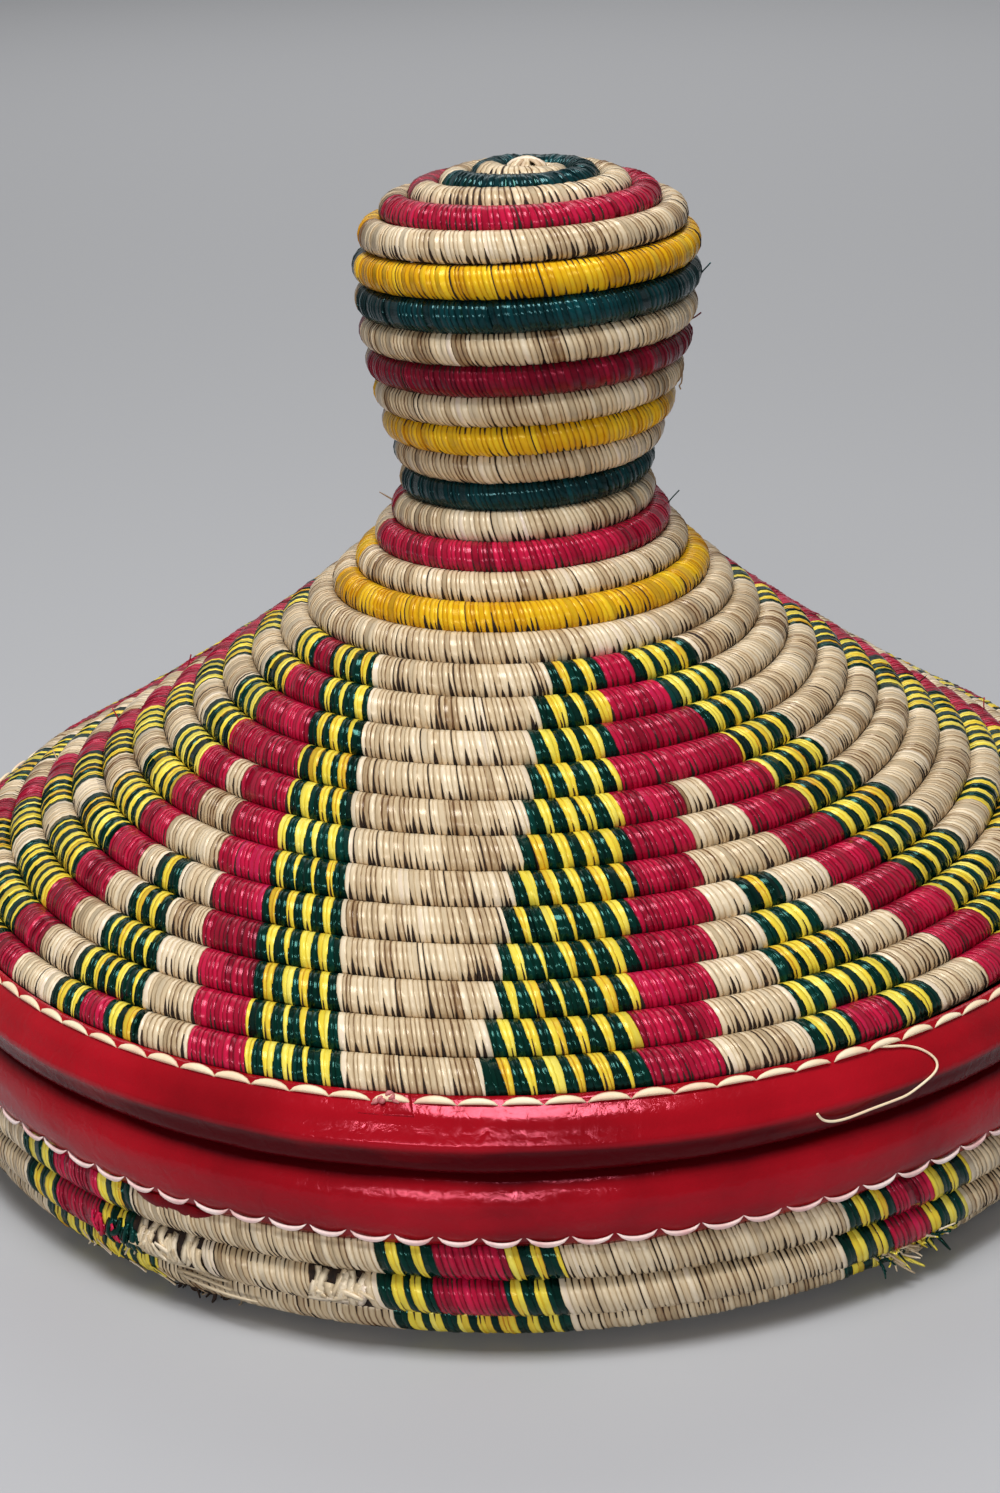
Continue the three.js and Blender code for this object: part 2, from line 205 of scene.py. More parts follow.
def grass_stitch(name, tints, gloss, roughness=0.25, edge=0.35, ior=1.55):
    """Split grass stem, flattened and wrapped: a satin skin whose gloss takes on the dye, because light
    comes back from inside the fibres. They run along each stitch, each strip is darkened towards its
    edges with painted shade, and every stitch takes its own tint."""
    made, tree = new_material(name)
    shade = add(tree, "ShaderNodeAttribute", {"attribute_name": "shade"}).outputs["Fac"]
    weave = add(tree, "ShaderNodeUVMap", {"uv_map": "weave"})
    across = add(tree, "ShaderNodeSeparateXYZ", inputs={0: weave}).outputs["X"]
    share = add(tree, "ShaderNodeMath", {"operation": "FRACT"}, {0: across})
    off = add(tree, "ShaderNodeMath", MULTIPLY_ADD, {0: share, 1: 2.0, 2: -1.0})
    side = add(tree, "ShaderNodeMath", {"operation": "ABSOLUTE"}, {0: off})
    rim = add(tree, "ShaderNodeMath", {"operation": "POWER"}, {0: side, 1: 4.0})
    along = add(tree, "ShaderNodeMapping", inputs={"Vector": weave, "Scale": (5.0, 0.3, 1.0)})
    fibre = add(tree, "ShaderNodeTexNoise", inputs={"Vector": along, "Scale": 1.0, "Detail": 3.0})
    place = add(tree, "ShaderNodeTexCoord").outputs["Object"]
    blotch = add(tree, "ShaderNodeTexNoise", inputs={"Vector": place, "Scale": 70.0, "Detail": 2.0})
    streaked = add(tree, "ShaderNodeMath", MULTIPLY_ADD, {0: fibre, 1: 0.5, 2: shade})
    mixed = add(tree, "ShaderNodeMath", MULTIPLY_ADD, {0: blotch, 1: 0.5, 2: streaked})
    level = add(tree, "ShaderNodeMapRange", inputs={"Value": mixed, "From Min": 0.3, "From Max": 1.65})
    # Painted shade: each strip darkens towards its edges, where it turns down into the valley beside it
    tone_and_edge_shade = add(tree, "ShaderNodeMath", MULTIPLY_ADD, {0: rim, 1: -edge, 2: level})
    rounded = add(tree, "ShaderNodeMath", MULTIPLY_ADD, {0: rim, 1: -1.0, 2: fibre})
    bump = add(tree, "ShaderNodeBump", inputs={
        "Height": rounded, "Strength": 0.5, "Distance": 0.1 * METRE,
    })
    shader = add(tree, "ShaderNodeBsdfPrincipled", inputs={
        "Base Color": add(tree, "ShaderNodeValToRGB", inputs={"Fac": tone_and_edge_shade}, stops=tints),
        "Roughness": roughness,
        "IOR": ior,
        "Specular Tint": colour(gloss),
        "Normal": bump,
    })
    add(tree, "ShaderNodeOutputMaterial", inputs={"Surface": shader})
    return made


def shaded_bundle_grass():
    """Unwrapped grass inside the coil, seen only in the gaps between stitches. Its near black-brown is
    painted shade, the dark of those deep gaps.
    """
    made, tree = new_material("bundle_grass_painted_shade")
    place = add(tree, "ShaderNodeTexCoord").outputs["Object"]
    grain = add(tree, "ShaderNodeTexNoise", inputs={"Vector": place, "Scale": 900.0, "Detail": 2.0})
    shader = add(tree, "ShaderNodeBsdfPrincipled", inputs={
        "Base Color": add(tree, "ShaderNodeValToRGB", inputs={"Fac": grain}, stops=[
            (0.3, "#120804"), (0.55, "#2A180D"), (0.85, "#553C26"),
        ]),
        "Roughness": 0.8,
        "IOR": 1.45,
    })
    add(tree, "ShaderNodeOutputMaterial", inputs={"Surface": shader})
    return made


def red_goatskin():
    """Goatskin, dyed and glazed: a satin red whose gloss is pink, with fine pores, and small slack
    wrinkles that break the gloss up. Painted shade makes it darker and less glossy where the strip turns
    under or lies beneath the lid."""
    made, tree = new_material("red_goatskin_glazed")
    place = add(tree, "ShaderNodeTexCoord").outputs["Object"]
    painted_shade = add(tree, "ShaderNodeAttribute", {"attribute_name": "painted_shade"}).outputs["Fac"]
    mottle = add(tree, "ShaderNodeTexNoise", inputs={"Vector": place, "Scale": 26.0, "Detail": 5.0})
    pores = add(tree, "ShaderNodeTexVoronoi", inputs={"Vector": place, "Scale": 950.0})
    slack = add(tree, "ShaderNodeTexNoise", inputs={
        "Vector": place, "Scale": 300.0, "Detail": 4.0, "Distortion": 0.9,
    })
    creases = add(tree, "ShaderNodeBump", inputs={
        "Height": slack, "Strength": 0.45, "Distance": 0.4 * METRE,
    })
    bump = add(tree, "ShaderNodeBump", inputs={
        "Height": pores, "Strength": 0.15, "Distance": 0.08 * METRE, "Normal": creases,
    })
    roughness = add(tree, "ShaderNodeMapRange", inputs={
        "Value": slack, "From Min": 0.3, "From Max": 0.7, "To Min": 0.1, "To Max": 0.24,
    })
    # Painted shade darkens the mottled red where the strip turns under or lies beneath the lid
    depth = add(tree, "ShaderNodeMath", MULTIPLY_ADD, {0: painted_shade, 1: -0.45, 2: mottle})
    shader = add(tree, "ShaderNodeBsdfPrincipled", inputs={
        "Base Color": add(tree, "ShaderNodeValToRGB", inputs={"Fac": depth}, stops=[
            (0.08, "#4E040A"), (0.3, "#7E060F"), (0.5, "#9A0916"), (0.75, "#AC0E1D"),
        ]),
        "Roughness": roughness,
        "IOR": 1.6,
        # Painted shade also dims the gloss there
        "Specular IOR Level": add(tree, "ShaderNodeMapRange", inputs={
            "Value": painted_shade, "To Min": 0.5, "To Max": 0.08,
        }),
        "Specular Tint": colour("#FF7F96"),
        "Normal": bump,
    })
    add(tree, "ShaderNodeOutputMaterial", inputs={"Surface": shader})
    return made


def waxed_thread(name, tints):
    """Flat lacing thread, waxed: cream, with a pink cast where the red leather has rubbed off on it."""
    made, tree = new_material(name)
    place = add(tree, "ShaderNodeTexCoord").outputs["Object"]
    rub = add(tree, "ShaderNodeTexNoise", inputs={"Vector": place, "Scale": 120.0, "Detail": 3.0})
    twist = add(tree, "ShaderNodeTexNoise", inputs={"Vector": place, "Scale": 1500.0, "Detail": 2.0})
    bump = add(tree, "ShaderNodeBump", inputs={"Height": twist, "Strength": 0.3, "Distance": 0.1 * METRE})
    shader = add(tree, "ShaderNodeBsdfPrincipled", inputs={
        "Base Color": add(tree, "ShaderNodeValToRGB", inputs={"Fac": rub}, stops=tints),
        "Roughness": 0.5,
        "IOR": 1.5,
        "Normal": bump,
    })
    add(tree, "ShaderNodeOutputMaterial", inputs={"Surface": shader})
    return made


NATURAL, CRIMSON, WINE, YELLOW, LEMON, TEAL, GREEN, WAD, SHADED_BUNDLE = range(9)
GRASSES = [
    grass_stitch("grass_undyed", [
        (0.0, "#5E3D22"), (0.13, "#9C7F5C"), (0.24, "#B89F7C"), (0.42, "#D3BC98"), (0.72, "#EAD8BA"),
        (1.0, "#EAD6C8"),
    ], "#FFF4E2", 0.28),
    grass_stitch("grass_dyed_crimson", [
        (0.0, "#4E0512"), (0.35, "#930B28"), (0.7, "#C61841"), (1.0, "#A8265C"),
    ], "#FF9AB0", 0.2),
    grass_stitch("grass_dyed_wine", [
        (0.0, "#3A0511"), (0.5, "#6E0A1E"), (1.0, "#981232"),
    ], "#F0708A"),
    grass_stitch("grass_dyed_yellow", [
        (0.0, "#A86A06"), (0.4, "#DDA612"), (0.8, "#F0C828"), (1.0, "#DE9414"),
    ], "#FFE98A"),
    grass_stitch("grass_dyed_lemon", [
        (0.0, "#C07F18"), (0.18, "#DFB52E"), (0.45, "#EDD642"), (0.8, "#F6E66C"), (1.0, "#EBA42C"),
    ], "#FFF6B0", edge=0.25),
    grass_stitch("grass_dyed_teal", [
        (0.0, "#010B0B"), (0.5, "#022529"), (1.0, "#084248"),
    ], "#A8F0F4", 0.13, ior=1.42),
    grass_stitch("grass_dyed_green", [
        (0.0, "#010B08"), (0.5, "#022219"), (1.0, "#063C38"),
    ], "#8CE6D8", 0.14, 0.25, 1.42),
    grass_stitch("grass_undyed_browned", [
        (0.0, "#7A5C44"), (0.5, "#B49878"), (1.0, "#DCC8AC"),
    ], "#FFF0DC", 0.45),
    shaded_bundle_grass(),
]
GOATSKIN = red_goatskin()
THREAD = waxed_thread("waxed_lacing_thread", [
    (0.3, "#FAEACA"), (0.55, "#F5DDB8"), (0.75, "#ECC0A8"),
])
PINK_THREAD = waxed_thread("waxed_thread_rubbed_pink", [
    (0.3, "#FBEAE4"), (0.5, "#F5D6D0"), (0.75, "#DFA2A0"),
])
KNOT_THREAD = waxed_thread("waxed_thread_stained_red", [
    (0.3, "#D88F8E"), (0.5, "#C46F70"), (0.75, "#9C3C42"),
])

# The dye of each whole row, from the wad in the middle of the crown to the throat
ROW_DYES = np.array([
    WAD, NATURAL, TEAL, NATURAL, CRIMSON, NATURAL, YELLOW, TEAL, NATURAL, WINE,
    NATURAL, YELLOW, NATURAL, TEAL, NATURAL, CRIMSON, NATURAL, YELLOW, NATURAL,
])


# Lines and surfaces

class Outline:
    """A smooth line through points of radius and height, read by the distance along it."""

    def __init__(self, points):
        p = np.array([points[0], *points, points[-1]], float)
        u = np.linspace(0, 1, 80, endpoint=False)[:, None]
        spans = [
            b + (c - a) * u / 2 + (2 * a - 5 * b + 4 * c - d) * u**2 / 2
            + (3 * b - a - 3 * c + d) * u**3 / 2
            for a, b, c, d in zip(p, p[1:], p[2:], p[3:])
        ]
        self.line = np.vstack([*spans, p[-1:]])
        lengths = np.linalg.norm(np.diff(self.line, axis=0), axis=1)
        self.distance = np.concatenate([[0], np.cumsum(lengths)])
        self.length = self.distance[-1]
        self.heading = np.gradient(self.line, self.distance, axis=0)

    def at(self, distance):
        """Radius and height there, and the direction in which the outline runs on."""
        lines = (*self.line.T, *self.heading.T)
        r, z, ar, az = (np.interp(distance, self.distance, line) for line in lines)
        size = np.hypot(ar, az)
        return r, z, ar / size, az / size


class Coil:
    """A spiral of rows along an outline, whose outer side is on its left (1) or right (-1). Turn t
    fills the band from edge(t) to edge(t + 1)."""

    def __init__(self, outline, edge, start_angle, side, foot=0.0, lean=0.0, stitch=STITCH):
        self.outline = Outline(outline)
        self.edge = lambda t: edge(t, self.outline.length)
        self.start_angle = start_angle
        self.side = side
        self.foot = foot
        self.lean = lean
        self.stitch = stitch

    def middle(self, t):
        inner = self.edge(t)
        outer = self.edge(t + 1)
        return (*self.outline.at((inner + outer) / 2), (outer - inner) / 2)

    def angle(self, t):
        return self.start_angle - 360 * t

    def rate(self, t):
        """Turns for each millimetre along the rod."""
        return 1 / (2 * math.pi * np.maximum(self.middle(t)[0], 2))

    def place(self, t, across, proud):
        """Points on the rod at turn t, by shares of its half breadth across and distance outwards."""
        r, z, ar, az, half = self.middle(t)
        radius = r + half * across * ar - self.side * proud * az
        height = z + half * across * az + self.side * proud * ar
        angle = np.radians(self.angle(t))
        return np.stack([
            radius * np.cos(angle) + self.lean * height,
            radius * np.sin(angle),
            height + self.foot,
        ], axis=-1)

    def stitch_ends(self, first, last):
        """The turns at which one stitch ends and the next begins, each of its own breadth."""
        t = np.linspace(first, last, 6000)
        length = np.concatenate([[0], np.cumsum(np.diff(t) / self.rate(t[:-1]))])
        count = max(round(length[-1] / self.stitch), 3)
        breadths = 1 + STITCH_VARIES * rng.uniform(-1, 1, count)
        ends = np.concatenate([[0], np.cumsum(breadths)])
        return np.interp(ends / ends[-1] * length[-1], length, t)

    def span(self):
        """First and last turn at which the band is at least a wisp broad."""
        t = np.arange(-1, 60, 0.01)
        broad = self.edge(t + 1) - self.edge(t) >= WISP
        return t[broad][0], t[broad][-1]


def lid_edge(t, length):
    """The rows widen from the knob's to the cone's over some turns round the cone's splice."""
    x = np.clip((t - CONE_SPLICE) / WIDEN + 0.5, 0, 1)
    widened = WIDEN * (x**3 - x**4 / 2) + np.maximum(t - CONE_SPLICE - WIDEN / 2, 0)
    return np.clip(KNOB_ROW * t + (CONE_ROW - KNOB_ROW) * widened, START_RADIUS, length)


def even_edge(t, length):
    return np.clip(BASE_ROW * t, 0, length)


class Rim:
    """The outside of a leather strip round a rim, read by angle and distance from its laced edge."""

    def __init__(self, points, side):
        self.outline = Outline(points)
        self.side = side

    def place(self, angle, distance, lift):
        r, z, ar, az = self.outline.at(distance)
        radius = r - self.side * lift * az
        height = z + self.side * lift * ar
        turn = np.radians(angle)
        return np.stack([radius * np.cos(turn), radius * np.sin(turn), height], axis=-1)

    def outward(self, angle, distance):
        """Straight out of the leather there."""
        return self.place(angle, distance, 1.0) - self.place(angle, distance, 0.0)


# Pieces

def placed(name, data):
    made = bpy.data.objects.new(name, data)
    bpy.context.scene.collection.objects.link(made)
    return made


def mesh_of(name, bm):
    mesh = bpy.data.meshes.new(name)
    bm.to_mesh(mesh)
    bm.free()
    return mesh


def finished(name, data, body, replaced, materials):
    """A piece of the basket: its object, its materials, and the body that it moves with."""
    made = placed(name, data)
    for used in materials:
        data.materials.append(used)
    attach(made, body)
    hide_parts(*replaced)
    return made


def closed_up(bm):
    """Merges seams, closes open ends and turns all faces outwards."""
    bmesh.ops.remove_doubles(bm, verts=bm.verts, dist=MERGE * METRE)
    bmesh.ops.holes_fill(bm, edges=[e for e in bm.edges if e.is_boundary])
    bmesh.ops.recalc_face_normals(bm, faces=bm.faces)
    for face in bm.faces:
        face.smooth = True


def wrapped_mesh(name, place, dye, shade, weave):
    """A flat grid rolled up into a rod. Its points run along the rod first, and the last row of them
    comes round to the first."""
    rows, columns = place.shape[0] - 1, place.shape[1] - 1
    mesh = bpy.data.meshes.new(name)
    bm = bmesh.new()
    bmesh.ops.create_grid(bm, x_segments=columns, y_segments=rows, size=1)
    bm.to_mesh(mesh)
    mesh.vertices.foreach_set("co", (place * METRE).reshape(-1).astype(np.float32))
    mesh.polygons.foreach_set("material_index", dye.astype(np.int32))
    tint = mesh.attributes.new("shade", "FLOAT", "FACE")
    tint.data.foreach_set("value", np.tile(shade, rows).astype(np.float32))
    corner = np.empty(len(mesh.loops), np.int32)
    mesh.loops.foreach_get("vertex_index", corner)
    layer = mesh.uv_layers.new(name="weave")
    layer.uv.foreach_set("vector", weave.reshape(-1, 2)[corner].reshape(-1).astype(np.float32))
    bm.clear()
    bm.from_mesh(mesh)
    closed_up(bm)
    bm.to_mesh(mesh)
    bm.free()
    return mesh


def rod_section(outer):
    """Shares across and outwards round a rod, from the next row's side outwards and back."""
    outer_half = np.linspace(0, math.pi, outer + 1)
    inner_half = np.linspace(math.pi, 2 * math.pi, INNER_FACES + 1)
    a = np.concatenate([outer_half, inner_half[1:]])
    across, out = (np.sign(c) * np.abs(c) ** ROUNDNESS for c in (np.cos(a), np.sin(a)))
    out[np.abs(out) < 1e-9] = 0
    return across, out


def stitch_shades(dyes):
    """The stem and the tint, 0 to 1, of each stitch. Those of one stem are alike, and undyed ones beside
    a stripe are pale."""
    count = len(dyes)
    stem = np.repeat(np.arange(count), rng.integers(1, 8, count))[:count]
    shade = rng.normal(0.45, 0.13, count)[stem] + rng.normal(0, 0.13, count)
    beside_stripe = (np.roll(dyes, 1) == GREEN) | (np.roll(dyes, -1) == GREEN)
    shade[(dyes == NATURAL) & beside_stripe] = 0.85
    return stem, np.clip(shade, 0, 1)


def valley_gaps(coil, before, after, stem, down):
    """The gap of each valley round the rod, and which valleys are wedges between two stripes. Before and
    after are the dyes on its sides, and down is 1 where the stitches dive."""
    count = len(before)
    striped = np.isin(before, (LEMON, GREEN)) & np.isin(after, (LEMON, GREEN))
    wedge = striped & (before != after)
    reds = np.isin(before, (CRIMSON, WINE)) & np.isin(after, (CRIMSON, WINE))
    pulled_tight = (striped & ~wedge) | reds
    one_stem = np.concatenate([[False], stem[1:] == stem[:-1], [False]])
    flat = one_stem & (rng.random(count) < 0.45)

    usual = TIGHT_ON_LID if coil.side > 0 else TIGHT_ON_BASE
    tight = rng.random(count) < np.where(pulled_tight | wedge, TIGHT_IN_DYE, usual)
    top_gap = np.where(tight, rng.uniform(0.08, 0.17, count), rng.uniform(0.2, 0.34, count))
    top_gap[flat] = 0.05
    low_gap = rng.choice([0.15, 0.55, 0.9], count, p=[0.25, 0.45, 0.3])
    low_gap = np.where(pulled_tight, low_gap * 0.5, low_gap) * np.where(flat, 0.3, 1)
    low_gap = np.where(wedge, 0.42, low_gap) * rng.uniform(0.75, 1.2, count)

    opens = (rng.uniform(-0.1, 0.5, count) + 0.35 * (coil.side > 0))[:, None]
    opens = np.where(wedge[:, None], -0.1, opens)
    dive = np.clip((down - opens) / (0.95 - opens), 0, 1) ** 1.1
    notch = np.clip((-down - 0.75) / 0.25, 0, 1) * rng.uniform(0.05, 0.5, count)[:, None]
    return np.minimum(top_gap[:, None] + low_gap[:, None] * dive + notch, WIDEST_GAP), wedge


def face_dyes(dyes, before, after, bare, inside):
    """The dye of each face, three to a stitch. A wide valley is filled with a dark colour as painted
    shade:
    the bundle, or green beside green or teal. No unwrapped bundle shows inside the basket."""
    dark = np.isin(before, (GREEN, TEAL)) | np.isin(after, (GREEN, TEAL))
    painted_shade_filling = np.where(dark, GREEN, SHADED_BUNDLE)[:, None]
    open_here = bare[:, :-1] | bare[:, 1:]
    wrapping = np.repeat(dyes, 3)[:, None]
    dye = wrapping.repeat(len(inside), axis=1)
    dye[0::3] = np.where(open_here[:-1], painted_shade_filling[:-1], dye[0::3])
    dye[2::3] = np.where(open_here[1:], painted_shade_filling[1:], dye[2::3])
    dye[:, inside] = np.where(wrapping == SHADED_BUNDLE, NATURAL, dye[:, inside])
    return dye


def stitched(name, coil, first, last, dye_of, body, node, outer=OUTER_FACES):
    """A stretch of coil in its wrapping. Each stitch is a rounded strip with a shallow valley beside it.
    Where it dives under the next row it narrows to a tooth, and the bundle shows between the teeth, in
    its dark painted shade."""
    ends = coil.stitch_ends(first, last)
    middle = (ends[1:] + ends[:-1]) / 2
    dyes = dye_of(coil.angle(middle), middle)
    count = len(dyes)
    stem, shade = stitch_shades(dyes)

    # Valleys
    across, out = rod_section(outer)
    down = across * coil.side
    before = np.append(dyes[:1], dyes)
    after = np.append(dyes, dyes[-1:])
    gap, wedge = valley_gaps(coil, before, after, stem, down)
    bare = gap > BARE_GAP
    gap = gap * coil.stitch / STITCH
    depth = np.minimum(0.03 + 0.6 * gap + 1.3 * np.maximum(gap - 0.24, 0), DEEPEST_VALLEY)
    lemon_side = np.where(before == LEMON, 0.85, 0.15)
    taken_before = np.where(wedge, lemon_side, 0.5)[:, None]

    # How each stitch differs: raised, tilted, and ragged, lipped and wandering where it dives
    low = np.clip(down, 0, 1)
    lift = rng.uniform(-0.12, 0.14, count)[:, None] + 0.6 * (dyes == SHADED_BUNDLE)[:, None]
    tilt = rng.uniform(-0.12, 0.12, count)[:, None]
    ragged = rng.uniform(-0.3, 0.25, count)[:, None] * low**3
    lip = np.repeat(rng.uniform(0, 0.32, count), 3)[:, None] * np.clip(down * 8 - 7, 0, 1)
    lip = np.vstack([lip, lip[-1:]])
    wander = rng.normal(0, 0.13, count + 1)[:, None] * low**1.5

    # Each stitch has a ring in the valley before it and one on either side of its strip
    t = np.empty((3 * count + 1, len(across)))
    sink = np.empty_like(t)
    rate = coil.rate(ends)[:, None]
    edge = ends[:, None] + wander * rate
    t[0::3] = edge + gap * (0.5 - taken_before) * rate
    t[1::3] = (edge + gap * (1 - taken_before) * rate)[:-1]
    t[2::3] = (edge - gap * taken_before * rate)[1:]
    sink[0::3] = depth
    sink[1::3] = lift + tilt + ragged
    sink[2::3] = lift - tilt + ragged
    t = t - coil.side * SLANT * coil.middle(t)[4] * across * coil.rate(t)
    rise = np.maximum(coil.middle(t)[4] - 0.1, 0.2)
    plump = 1 + 0.04 * np.sin(t * 23.0) * np.sin(t * 7.7)
    shrink = 1 - np.minimum(sink / rise, 0.85)
    place = coil.place(t, across * 1.02 + 0 * t, (out * plump * shrink + lip) * rise)
    place[..., 2] = np.maximum(place[..., 2], 0)

    # The weave's first number counts stitches, and its second is the distance round the rod
    around = np.cumsum(np.concatenate([[0], np.hypot(np.diff(across), np.diff(out))])) * CONE_ROW / 2
    share = np.repeat(np.arange(count + 1), 3)[:len(t)] + np.resize([0, 0.001, 0.999], len(t))
    weave = np.stack(np.broadcast_arrays(share[:, None], around), axis=-1)

    dye = face_dyes(dyes, before, after, bare, out[:-1] + out[1:] < 0)
    mesh = wrapped_mesh(
        name, place.transpose(1, 0, 2), dye.T.reshape(-1), np.repeat(shade, 3), weave.transpose(1, 0, 2),
    )
    finished(name, mesh, body, [node], GRASSES)


def rings_round(path, outward, breadth, thickness, sides=6):
    """Rings of points round a path, flattened across the outward direction."""
    along = np.gradient(path, axis=0)
    along /= np.linalg.norm(along, axis=1)[:, None]
    beside = np.cross(along, outward)
    beside /= np.linalg.norm(beside, axis=1)[:, None]
    out = np.cross(beside, along)
    a = np.linspace(0, 2 * math.pi, sides + 1)[None, :, None]
    half_breadth = np.broadcast_to(breadth, len(path))[:, None, None] / 2
    half_thickness = np.broadcast_to(thickness, len(path))[:, None, None] / 2
    sideways = beside[:, None] * half_breadth * np.cos(a)
    outwards = out[:, None] * half_thickness * np.sin(a)
    return path[:, None] + sideways + outwards


def threads(name, ring_sets, body, replaced, materials, dyes=None, layer="shade", tones=(0.1, 0.9)):
    """Short strips in one piece, each a small grid rolled round its own rings, with its own tone."""
    bm = bmesh.new()
    tint = bm.faces.layers.float.new(layer)
    weave = bm.loops.layers.uv.new("weave")
    for k, rings in enumerate(ring_sets):
        columns, rows = rings.shape[0] - 1, rings.shape[1] - 1
        grid = bmesh.ops.create_grid(bm, x_segments=columns, y_segments=rows, size=1)
        tone = rng.uniform(*tones)
        for vert, point in zip(grid["verts"], (rings.transpose(1, 0, 2) * METRE).reshape(-1, 3)):
            vert.co = point
        for face in {f for v in grid["verts"] for f in v.link_faces}:
            face.material_index = 0 if dyes is None else dyes[k]
            face[tint] = tone
            for corner in face.loops:
                corner[weave].uv = (k + 0.5, 0)
    closed_up(bm)
    finished(name, mesh_of(name, bm), body, replaced, materials)


def spun(bm, steps):
    """Spins a section once round the basket and closes it up."""
    bmesh.ops.spin(
        bm, geom=bm.verts[:] + bm.edges[:], axis=(0, 0, 1), cent=(0, 0, 0), angle=2 * math.pi,
        steps=steps, use_merge=True,
    )
    closed_up(bm)


def leather_roll(name, rim, body, node, folds):
    """A leather strip rolled round the rim: its section is spun, then worked into folds and puckers."""
    d = np.linspace(0, rim.outline.length, 34)
    r, z, ar, az = rim.outline.at(d)
    thick = np.interp(d, [0, 4], [LEATHER_EDGE, LEATHER])
    inner_r = r + rim.side * thick * az
    inner_z = z - rim.side * thick * ar
    bm = bmesh.new()
    section = [*zip(r, z), *zip(inner_r[::-3], inner_z[::-3])]
    loop = [bm.verts.new((x * METRE, 0, y * METRE)) for x, y in section]
    for pair in zip(loop, loop[1:] + loop[:1]):
        bm.edges.new(pair)
    spun(bm, 4 * SCALLOPS)
    # Painted shade at each point, given by the folds: darker, duller leather on under-faces
    painted_shade = bm.verts.layers.float.new("painted_shade")
    for vert in bm.verts:
        radius = math.hypot(vert.co.x, vert.co.y) / METRE
        height = vert.co.z / METRE
        near = np.argmin(np.hypot(r - radius, z - height))
        if math.hypot(r[near] - radius, z[near] - height) > 0.3:
            continue
        angle = math.degrees(math.atan2(vert.co.y, vert.co.x))
        turn = math.radians(angle)
        lift, vert[painted_shade] = folds(angle, d[near])
        vert.co.x += rim.side * -lift * az[near] * math.cos(turn) * METRE
        vert.co.y += rim.side * -lift * az[near] * math.sin(turn) * METRE
        vert.co.z += rim.side * lift * ar[near] * METRE
    finished(name, mesh_of(name, bm), body, [node], [GOATSKIN])


def slack(angle, distance, seed):
    """Shallow wrinkles along the rim: long ones about 22 mm apart and short ones about 4.5 mm."""
    turn = math.radians(angle)
    x = RIM_RADIUS * math.cos(turn) / 22
    y = RIM_RADIUS * math.sin(turn) / 22
    long = noise.noise((x + seed, y, distance / 5))
    short = noise.noise((turn * RIM_RADIUS / 4.5, distance / 2.2, seed))
    return 0.28 * long + 0.12 * short


def swell(x, middle, reach, power=2):
    """A smooth rise to 1 at the middle and down again."""
    return math.exp(-((x - middle) / reach) ** power)


def pucker(angle, distance, depth, reach):
    """The leather drawn in by the lacing, once at each scallop."""
    drawn = 0.5 + 0.5 * math.cos(math.radians(SCALLOPS * angle))
    return -depth * swell(distance, 0, reach) * drawn


def lid_folds(angle, distance):
    """A knee low on the roll, with a second fold above it where the strip has slackened, and the
    painted shade on its under-face, which deepens where the strip turns in under the roll."""
    under_strand = swell(angle, -61.5, 7, 4)
    slackened = swell(angle, -66, 16, 4)
    knee = 0.3 * swell(distance, 11.8, 0.8)
    hollow = -0.12 * swell(distance, 9.2, 1.3)
    second = slackened * (0.3 * swell(distance, 15.2, 0.8))
    fold = 0.5 * swell(distance, 5.0, 1.7 if distance < 5.0 else 3.4) * (1 - under_strand)
    drawn_in = pucker(angle, distance, 0.3, 1.6)
    wrinkle = slack(angle, distance, 3.1) * (1 - 0.8 * under_strand)
    lift = knee + hollow + second + fold + drawn_in + wrinkle - 0.35 * under_strand
    # Painted shade on the under-face, deeper again on its inner side
    painted_under_shade = min(max((distance - 12.0) / 1.6, 0), 1) + 0.4 * min(max((distance - 16) / 2, 0), 1)
    return min(lift, 1.2), painted_under_shade


def base_folds(angle, distance):
    """A plump roll, puckered at its laced edge, and its painted shade: some at the low laced edge, more
    where the roll runs in under the lid.
    """
    lift = pucker(angle, distance, 0.35, 2.0) + 1.3 * slack(angle, distance, 7.7)
    # Painted shade along the low laced edge and under the lid's overhang
    low_edge = min(max((6.5 - distance) / 4, 0), 1)
    tucked = min(max((distance - 15.5) / 3, 0), 1)
    return min(lift, 0.4), 0.45 * low_edge + 1.2 * tucked


def rim_core(name, middle, height, body):
    """Grass laid round the rim inside the leather, in a few lumpy strands."""
    bm = bmesh.new()
    circle = bmesh.ops.create_circle(bm, segments=16, radius=CORE_WIDTH / 2 * METRE)
    for k, vert in enumerate(circle["verts"]):
        swell = 1 - 0.08 * (k % 2)
        vert.co = (
            RIM_RADIUS * METRE + vert.co.x * swell, 0,
            middle * METRE + vert.co.y * swell * height / CORE_WIDTH,
        )
    spun(bm, 180)
    finished(name, mesh_of(name, bm), body, [name.replace("_grass", "")], [GRASSES[WAD]])


# Camera and loose strand

def set_camera():
    data = bpy.data.cameras.new("camera")
    data.sensor_width = 36
    data.lens = CAMERA_LENS
    data.clip_start = 0.01
    camera = placed("camera", data)
    turn = (
        Matrix.Rotation(math.radians(CAMERA_TURN), 4, "Z")
        @ Matrix.Rotation(math.radians(CAMERA_PITCH), 4, "X")
        @ Matrix.Rotation(math.radians(CAMERA_ROLL), 4, "Z")
    )
    camera.matrix_world = Matrix.Translation([c * METRE for c in CAMERA_PLACE]) @ turn
    bpy.context.scene.camera = camera


